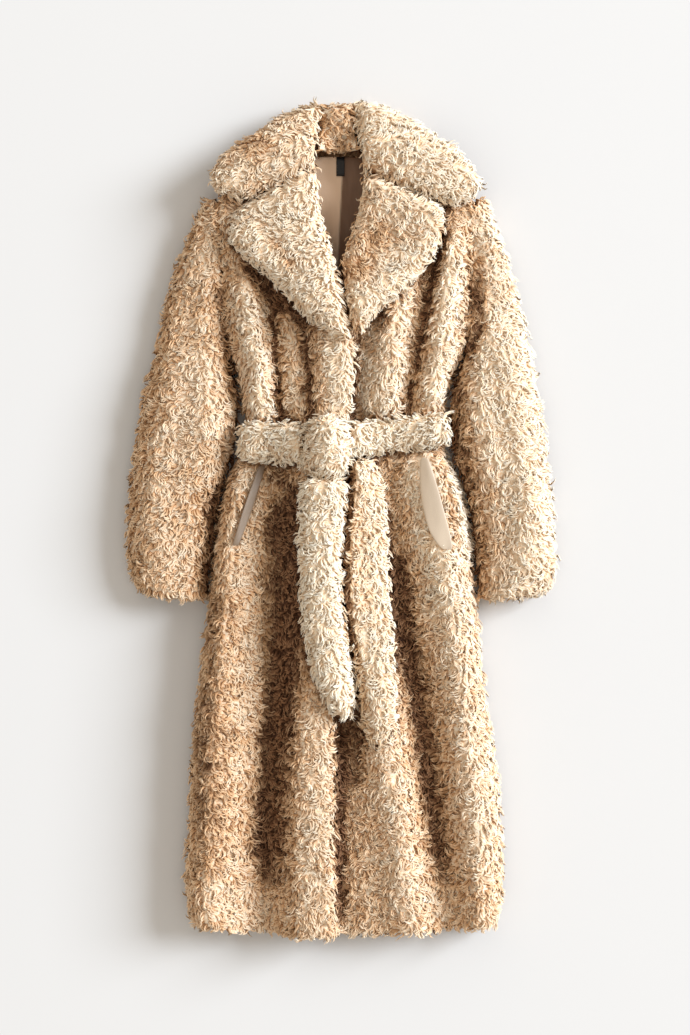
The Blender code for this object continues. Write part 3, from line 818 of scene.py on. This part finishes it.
def gathered(mesh, roots, normals, rng):
    """Middle and normal of each lock, and the lock that each root belongs to."""
    middles, facing = scatter(mesh, LOCK_CELL, rng)
    near = KDTree(len(middles))
    for i, place in enumerate(middles + facing * SIDE_REACH):
        near.insert(place, i)
    near.balance()
    return middles, facing, np.array([near.find(place)[1] for place in roots + normals * SIDE_REACH])


def combed(node, roots, normals, rng):
    """Way that each lock lies: the piece's own, or away from a belt stretch's middle, with swirls."""
    low, high = (np.array(c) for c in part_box(node))
    way = np.tile([*NAP.get(node, DOWN_THE_COAT), 0.0], (len(roots), 1))
    if node in FANNED:
        middle = (low[0] + high[0]) / 2
        way[:, 0] = FAN * np.clip((roots[:, 0] - middle) / (high[0] - low[0]) * 2, -1, 1) ** 3
    way += creased(node, roots)[2]
    way[:, :2] += EDGE_DRAG * normals[:, :2]
    swirl = wavering(roots, SWIRL_WAVES) + SWIRL_STRAY * rng.normal(size=len(roots))
    cos, sin = np.cos(swirl), np.sin(swirl)
    x, y = way[:, 0], way[:, 1]
    turned = np.stack([x * cos - y * sin, x * sin + y * cos, way[:, 2]], axis=1)
    turned -= normals * np.sum(turned * normals, axis=1)[:, None]
    return unit(turned + 1e-6)


def paths(roots, normals, nap, length, lean, start, turn):
    """Centre line of each curl, with the two directions across it at each of its points."""
    across = np.cross(normals, nap)
    point = roots.copy()
    lines, sides, ups = [], [], []
    for k in range(RINGS + 1):
        share = k / RINGS
        tilt = lean[:, 0] + (lean[:, 1] - lean[:, 0]) * share**TILT_EASE
        round_ = start + turn * share
        flat = nap * np.cos(round_)[:, None] + across * np.sin(round_)[:, None]
        way = normals * np.cos(tilt)[:, None] + flat * np.sin(tilt)[:, None]
        side = unit(np.cross(way, normals))
        lines.append(point)
        sides.append(side)
        ups.append(np.cross(side, way))
        point = point + way * (length / RINGS)[:, None]
    return np.stack(lines, 1), np.stack(sides, 1), np.stack(ups, 1)


def skinned(name, lines, sides, ups, cloth, radius, tone, finish):
    """One mesh of tapered curls round their centre lines, shaded partly as the cloth that they stand on."""
    count, each = len(lines), RINGS * SIDES + 1
    vertices = np.empty((count, each, 3))
    facing = np.empty((count, each, 3))
    u = np.empty((count, each))
    v = np.empty((count, each))
    shade = np.floor(np.clip(tone, 0, 0.999) * TONES)
    lit = cloth.copy()
    lit[:, 2] = np.where(cloth[:, 2] > UNDERMOST, np.maximum(cloth[:, 2], LEAST_LIT), cloth[:, 2])
    cloth = unit(lit)
    for k in range(RINGS):
        for j in range(SIDES):
            angle = 2 * math.pi * j / SIDES + math.pi / 2
            out = sides[:, k] * math.cos(angle) + ups[:, k] * math.sin(angle) * FLATNESS
            at = k * SIDES + j
            vertices[:, at] = lines[:, k] + out * (radius * RING_WIDTHS[k])[:, None]
            form = FORM_SHARE * np.clip(FORM_REACH + np.sum(out * cloth, axis=1), 0.0, 1.0)[:, None]
            facing[:, at] = unit(out * (1 - form) + cloth * form)
            u[:, at] = (shade + 0.5) / TONES
            v[:, at] = np.clip(V_ROOT + V_LENGTH * k / RINGS - (FLANK_SHADE if j else 0.0), *V_ENDS)
    vertices[:, -1] = lines[:, RINGS]
    vertices[:, :, 2] = np.maximum(vertices[:, :, 2], 0.0)
    facing[:, -1] = cloth
    u[:, -1] = (shade + 0.5) / TONES
    v[:, -1] = V_ENDS[1]
    quads = [
        (k * SIDES + j, (k + 1) * SIDES + j, (k + 1) * SIDES + n, k * SIDES + n)
        for k in range(RINGS - 1)
        for j, n in zip(range(SIDES), [*range(1, SIDES), 0])
    ]
    last = (RINGS - 1) * SIDES
    tips = [(last + j, each - 1, last + (j + 1) % SIDES) for j in range(SIDES)]
    one = np.concatenate([np.array(quads).ravel(), np.array(tips).ravel()])
    loops = ((np.arange(count) * each)[:, None] + one[None, :]).ravel()
    sizes = np.tile([4] * len(quads) + [3] * len(tips), count)
    mesh = bpy.data.meshes.new(name)
    mesh.vertices.add(count * each)
    mesh.vertices.foreach_set("co", vertices.astype(np.float32).ravel())
    mesh.loops.add(len(loops))
    mesh.loops.foreach_set("vertex_index", loops.astype(np.int32))
    mesh.polygons.add(len(sizes))
    starts = np.concatenate([[0], np.cumsum(sizes)[:-1]])
    mesh.polygons.foreach_set("loop_start", starts.astype(np.int32))
    mesh.update(calc_edges=True)
    mesh.shade_smooth()
    mesh.normals_split_custom_set_from_vertices(facing.reshape(-1, 3).tolist())
    layer = mesh.uv_layers.new(name="OFBake")
    pairs = np.stack([u.ravel()[loops], v.ravel()[loops]], axis=1)
    layer.data.foreach_set("uv", pairs.astype(np.float32).ravel())
    mesh.materials.append(finish)
    made = bpy.data.objects.new(name, mesh)
    bpy.context.scene.collection.objects.link(made)
    return made


def over_satin(points, tree, owner, satin):
    """Whether each point lies straight above a satin piece or the label."""
    found = np.zeros(len(points), bool)
    for i, point in enumerate(points):
        face = tree.ray_cast(Vector((point[0], point[1], ABOVE_ALL)), Vector((0, 0, -1)))[2]
        found[i] = face is not None and satin[owner[face]]
    return found


def planted(node, shell, shells_tree, rng):
    """Roots and normals of a piece's curls, and which of them lie on the floor."""
    roots, normals = scatter(shell.data, CURL_CELL, rng)
    down = normals[:, 2] < LOOKS_DOWN
    on_floor = down & (roots[:, 2] < UNDERSIDE_TOP) & (node in FLOOR_NODES)
    sparse = rng.random(len(roots)) < (CURL_CELL / UNDERSIDE_CELL) ** 2
    inside = down if node not in FLOOR_NODES else np.zeros(len(roots), bool)
    if node in UNDER_NODES:
        inside |= (normals[:, 2] > LOOKS_UP) & ~at_shoulder(roots)
    keep = np.where(on_floor, sparse, ~inside)
    keep &= uncovered(roots, normals, shells_tree) | on_floor
    return roots[keep], normals[keep], on_floor[keep]


def toned(node, level, roots, normals, middles, lock, seam_light_and_shade, rng):
    """Tone of each curl, from brown to cream: a level that holds painted light, with painted shade and light
    from its creases, its seams, cloth that faces left and its lock's edge, and random tone by its lock, place
    and chance.
    """
    tone = level - creased(node, roots)[1] * CREASE_SHADE_SHARE
    tone += wavering(roots, TONE_WAVES, seam_light_and_shade[lock])
    tone += LOCK_TONES * rng.normal(size=len(middles))[lock] + CURL_TONES * rng.normal(size=len(roots))
    tone -= LEE_SHADE * np.clip(-normals[:, 0], 0.0, 1.0)
    from_middle = np.linalg.norm(roots - middles[lock], axis=1) / LOCK_CELL / LOCK_EDGE
    return tone - LOCK_SHADE * np.clip(from_middle, 0.0, 1.0) ** 2


def pile(node, shell, shells_tree, trees, solids, finish, number):
    """Curls of one piece, in as many meshes as its size needs."""
    kind = PILES["belt" if node in BELT_NODES else "coat"]
    rng = np.random.default_rng(SEED + number)
    roots, normals, on_floor = planted(node, shell, shells_tree, rng)
    count = len(roots)
    middles, facing, lock = gathered(shell.data, roots, normals, rng)
    locks = len(middles)
    close, toward, seam_light_and_shade = beside(node, middles, trees)
    nap = combed(node, middles, facing, rng) + NEIGHBOUR_PULL * toward * close[:, None]
    nap = unit(nap - facing * np.sum(nap * facing, axis=1)[:, None] + 1e-6)
    # Painted light and shade by how much sky each root sees, which also sets how flat and broad its curls lie
    bright = sky_painted_tone(np.where(on_floor, 1.0, openness(roots, normals, shells_tree)))
    long = rng.random(locks) < LONG_SHARE
    length = kind["length"] * MM * rng.uniform(*LENGTHS, locks) * np.where(long, LONG_LENGTH, 1.0)
    length *= 1.0 + NEIGHBOUR_LENGTH * close
    radius = kind["radius"] * MM * rng.uniform(*RADII, count) * np.where(long, LONG_RADIUS, 1.0)[lock]
    tip = np.where(long, rng.uniform(*LONG_TIP, locks), rng.uniform(*kind["tip"], locks))
    lean = np.radians(np.stack([rng.uniform(*kind["root"], locks), tip], axis=1))
    radius *= 1.0 + OPEN_BREADTH * bright
    lean[:, 1] *= 1.0 - EDGE_LIFT * np.linalg.norm(facing[:, :2], axis=1) ** 2
    lean[:, 1] *= 1.0 - NEIGHBOUR_LIFT * close
    hand = np.where(waves(middles, *HAND_WAVES) + HAND_STRAY * rng.normal(size=locks) < 0, -1.0, 1.0)
    start = -hand * rng.uniform(*STARTS, locks)
    turn = hand * rng.uniform(*kind["turn"], locks)
    # The curls' tone level: the kind's, the piece's painted light and shade, and the painted light by
    # openness
    level = kind["tone"] + PAINTED_PIECE_LIGHT.get(node, 0.0) + bright
    tone = toned(node, level, roots, normals, middles, lock, seam_light_and_shade, rng)
    own = nap[lock] + LOCK_STRAY * rng.normal(size=(count, 3))
    own = unit(own - normals * np.sum(own * normals, axis=1)[:, None] + 1e-6)
    own_lean = lean[lock] * (1.0 + LEAN_STRAY * rng.normal(size=(count, 1)))
    own_lean[:, 0] += OPEN_LEAN * bright
    own_lean[on_floor] = FLOOR_LEAN
    own_length = length[lock] * rng.uniform(*OWN_LENGTHS, count)
    own_start = start[lock] + LOCK_STRAY * rng.normal(size=count)
    own_turn = turn[lock] * (1.0 + LOCK_STRAY * rng.normal(size=count))
    roots = roots - normals * np.where(on_floor, FLOOR_DEPTH, ROOT_DEPTH)[:, None]
    lines, sides, ups = paths(roots, normals, own, own_length, own_lean, own_start, own_turn)
    together = paths(middles, facing, nap, length, lean, start, turn)[0]
    pull = LOCK_PULL * np.where(on_floor, 0.0, 1.0)[:, None] * (np.arange(RINGS + 1) / RINGS)[None, :]
    lines += (together[lock] - lines) * pull[:, :, None]
    covering = np.zeros(count, bool)
    for k in range(1, RINGS + 1):
        covering |= over_satin(lines[:, k], *solids)
    clear = ~covering | (rng.random(count) < OVER_SATIN)
    order = np.flatnonzero(clear)
    order = order[np.argsort(roots[order, 1])]
    pieces = max(1, math.ceil(len(order) / MOST_CURLS))
    made = []
    for k, part in enumerate(np.array_split(order, pieces)):
        name = f"pile_{node}_{k + 1}"
        shape = (lines[part], sides[part], ups[part], normals[part])
        made.append(skinned(name, *shape, radius[part], tone[part], finish))
    return made


# ---------------------------------------------------------------- the coat

# Pieces without pile: their material and the slot of the record
SATINS = {
    "lining_back": (lining_satin, "satin_lining"),
    "pocket_right": (pocket_satin, "pocket_satin"),
    "pocket_left": (pocket_satin, "pocket_satin"),
    "label": (label_cloth, "label_cloth"),
}

# The pleat of the lining by X at two heights above the hem, in mm: the lining is light to the left of it and
# painted dark to its right with the lapel's shadow, by the share PLEAT_SHADE
PLEAT = ((1.0, 1120.0), (-5.0, 1000.0))
PLEAT_WIDTH = 3.0 * MM
PLEAT_SHADE = 0.95
# The lining's tone at the lower of these heights, where painted shade falls toward the lapels' crossing, and
# how much lighter it is at the upper one
LINING_LOW = 0.55
LINING_RISE = 0.45
# The rest of these pieces have one tone each: on the pockets it is painted light and shade, the right one
# darker in shade
SATIN_TONES = {"pocket_right": 0.04, "pocket_left": 0.58, "label": 0.5}


def lining_tone(points):
    """The lining is light to the left of its pleat, painted dark with the lapel's shadow from the pleat
    rightward, and with shade toward the lapels' crossing.
    """
    (x_high, high), (x_low, low) = PLEAT
    up = points[:, 1] / MM + HALF_LENGTH
    line = x_low + (x_high - x_low) * (up - low) / (high - low)
    right = smooth((points[:, 0] - line * MM) / PLEAT_WIDTH + 0.5)
    return (1.0 - PLEAT_SHADE * right) * (LINING_LOW + LINING_RISE * smooth((up - low) / (high - low)))


def colour_by(mesh, tone):
    """Gives each corner of a mesh its tone, for the cloth's material: painted shade and light on the shells,
    the lining and the pockets.
    """
    layer = mesh.color_attributes.new("tone", "FLOAT_COLOR", "POINT")
    values = np.repeat(np.clip(tone, 0.0, 1.0)[:, None], 4, axis=1)
    layer.data.foreach_set("color", values.astype(np.float32).ravel())


def settle(piece, node, with_pieces):
    """Places a finished piece and those made with it under their body, and hides the solid that it stands
    for.
    """
    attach(piece, "root")
    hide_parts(node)
    for one in with_pieces:
        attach(one, "root")


def dress():
    """Makes every piece of the coat in the place of its solid."""
    nodes = list(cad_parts)
    solids_tree, owner = joined_tree([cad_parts[n].data for n in nodes])
    solids = (solids_tree, owner, np.array([n in SATINS for n in nodes]))
    shells = {n: finer(n, f"shell_{n}", 1) for n in FUR_NODES + BELT_NODES}
    full = {n: tree_of(s.data) for n, s in shells.items()}
    for node, shell in shells.items():
        draw_in(node, shell, [t for n, t in full.items() if n != node])
        shell.data.materials.append(belt_backing if node in BELT_NODES else coat_backing)
    shells_tree = joined_tree([s.data for s in shells.values()])[0]
    trees = {n: tree_of(s.data) for n, s in shells.items()}
    for node, shell in shells.items():
        points, normals = arrays(shell.data)
        # Painted shade on the shells: browner where less sky is seen and in creases, lighter on ridges
        sky = sky_painted_tone(openness(points, normals, shells_tree))
        colour_by(shell.data, sky - creased(node, points)[1] * CREASE_SHADE_SHARE)
    for number, (node, shell) in enumerate(shells.items()):
        belt = node in BELT_NODES
        curly = pile(node, shell, shells_tree, trees, solids, belt_pile if belt else coat_pile, number)
        settle(shell, node, curly)
    for node, (finish, slot) in SATINS.items():
        piece = finer(node, f"cloth_{node}", 2, "SIMPLE" if node == "label" else "CATMULL_CLARK")
        piece.data.materials.append(finish)
        points = arrays(piece.data)[0]
        tone = np.full(len(points), SATIN_TONES[node]) if node in SATIN_TONES else lining_tone(points)
        colour_by(piece.data, tone)
        settle(piece, node, [])


# ---------------------------------------------------------------- studio

# The photo in pixels, its scale, the middle of the coat in it, and the height and sensor of the camera
PHOTO_WIDTH, PHOTO_HEIGHT = 690, 1035
METRES_PER_PIXEL = 0.00148
COAT_MIDDLE_X = 341.5
COAT_MIDDLE_Y = 518.5
CAMERA_HEIGHT = 3.4
SENSOR = 36.0
FLOOR_SIZE = 8.0
PAPER_COLOUR = (0.77, 0.77, 0.77, 1.0)
# A broad soft light from the right, and the sky round it
KEY_PLACE = (22.0, 7.8, 12.6)
KEY_SIZE = 12.5
KEY_POWER = 9500.0
KEY_COLOUR = (0.94, 1.0, 1.07)
SKY_STRENGTH = 0.62
SKY_COLOUR = (1.0, 0.92, 0.82, 1.0)


def studio():
    """A pale floor, soft light, and a camera straight above that frames the coat as the photo does."""
    bpy.ops.mesh.primitive_plane_add(size=FLOOR_SIZE, location=(0, 0, 0))
    floor = bpy.context.object
    floor.name = "floor"
    paper, _, shader = new_material("paper")
    shader.inputs["Base Color"].default_value = PAPER_COLOUR
    shader.inputs["Roughness"].default_value = 0.9
    shader.inputs["Specular IOR Level"].default_value = 0.1
    floor.data.materials.append(paper)

    world = bpy.data.worlds.new("studio")
    bpy.context.scene.world = world
    world.use_nodes = True
    sky = world.node_tree.nodes["Background"]
    sky.inputs["Color"].default_value = SKY_COLOUR
    sky.inputs["Strength"].default_value = SKY_STRENGTH

    light = bpy.data.lights.new("key", "AREA")
    light.energy = KEY_POWER
    light.color = KEY_COLOUR
    light.size = KEY_SIZE
    key = bpy.data.objects.new("key", light)
    key.location = KEY_PLACE
    key.rotation_euler = (-Vector(KEY_PLACE)).to_track_quat("-Z", "Y").to_euler()
    bpy.context.scene.collection.objects.link(key)

    data = bpy.data.cameras.new("camera")
    data.sensor_fit = "VERTICAL"
    data.sensor_height = SENSOR
    data.lens = SENSOR * CAMERA_HEIGHT / (PHOTO_HEIGHT * METRES_PER_PIXEL)
    camera = bpy.data.objects.new("camera", data)
    camera.location = (
        (PHOTO_WIDTH / 2 - COAT_MIDDLE_X) * METRES_PER_PIXEL,
        (COAT_MIDDLE_Y - PHOTO_HEIGHT / 2) * METRES_PER_PIXEL,
        CAMERA_HEIGHT,
    )
    bpy.context.scene.collection.objects.link(camera)
    bpy.context.scene.camera = camera
    bpy.context.scene.view_settings.view_transform = "Standard"


dress()
studio()
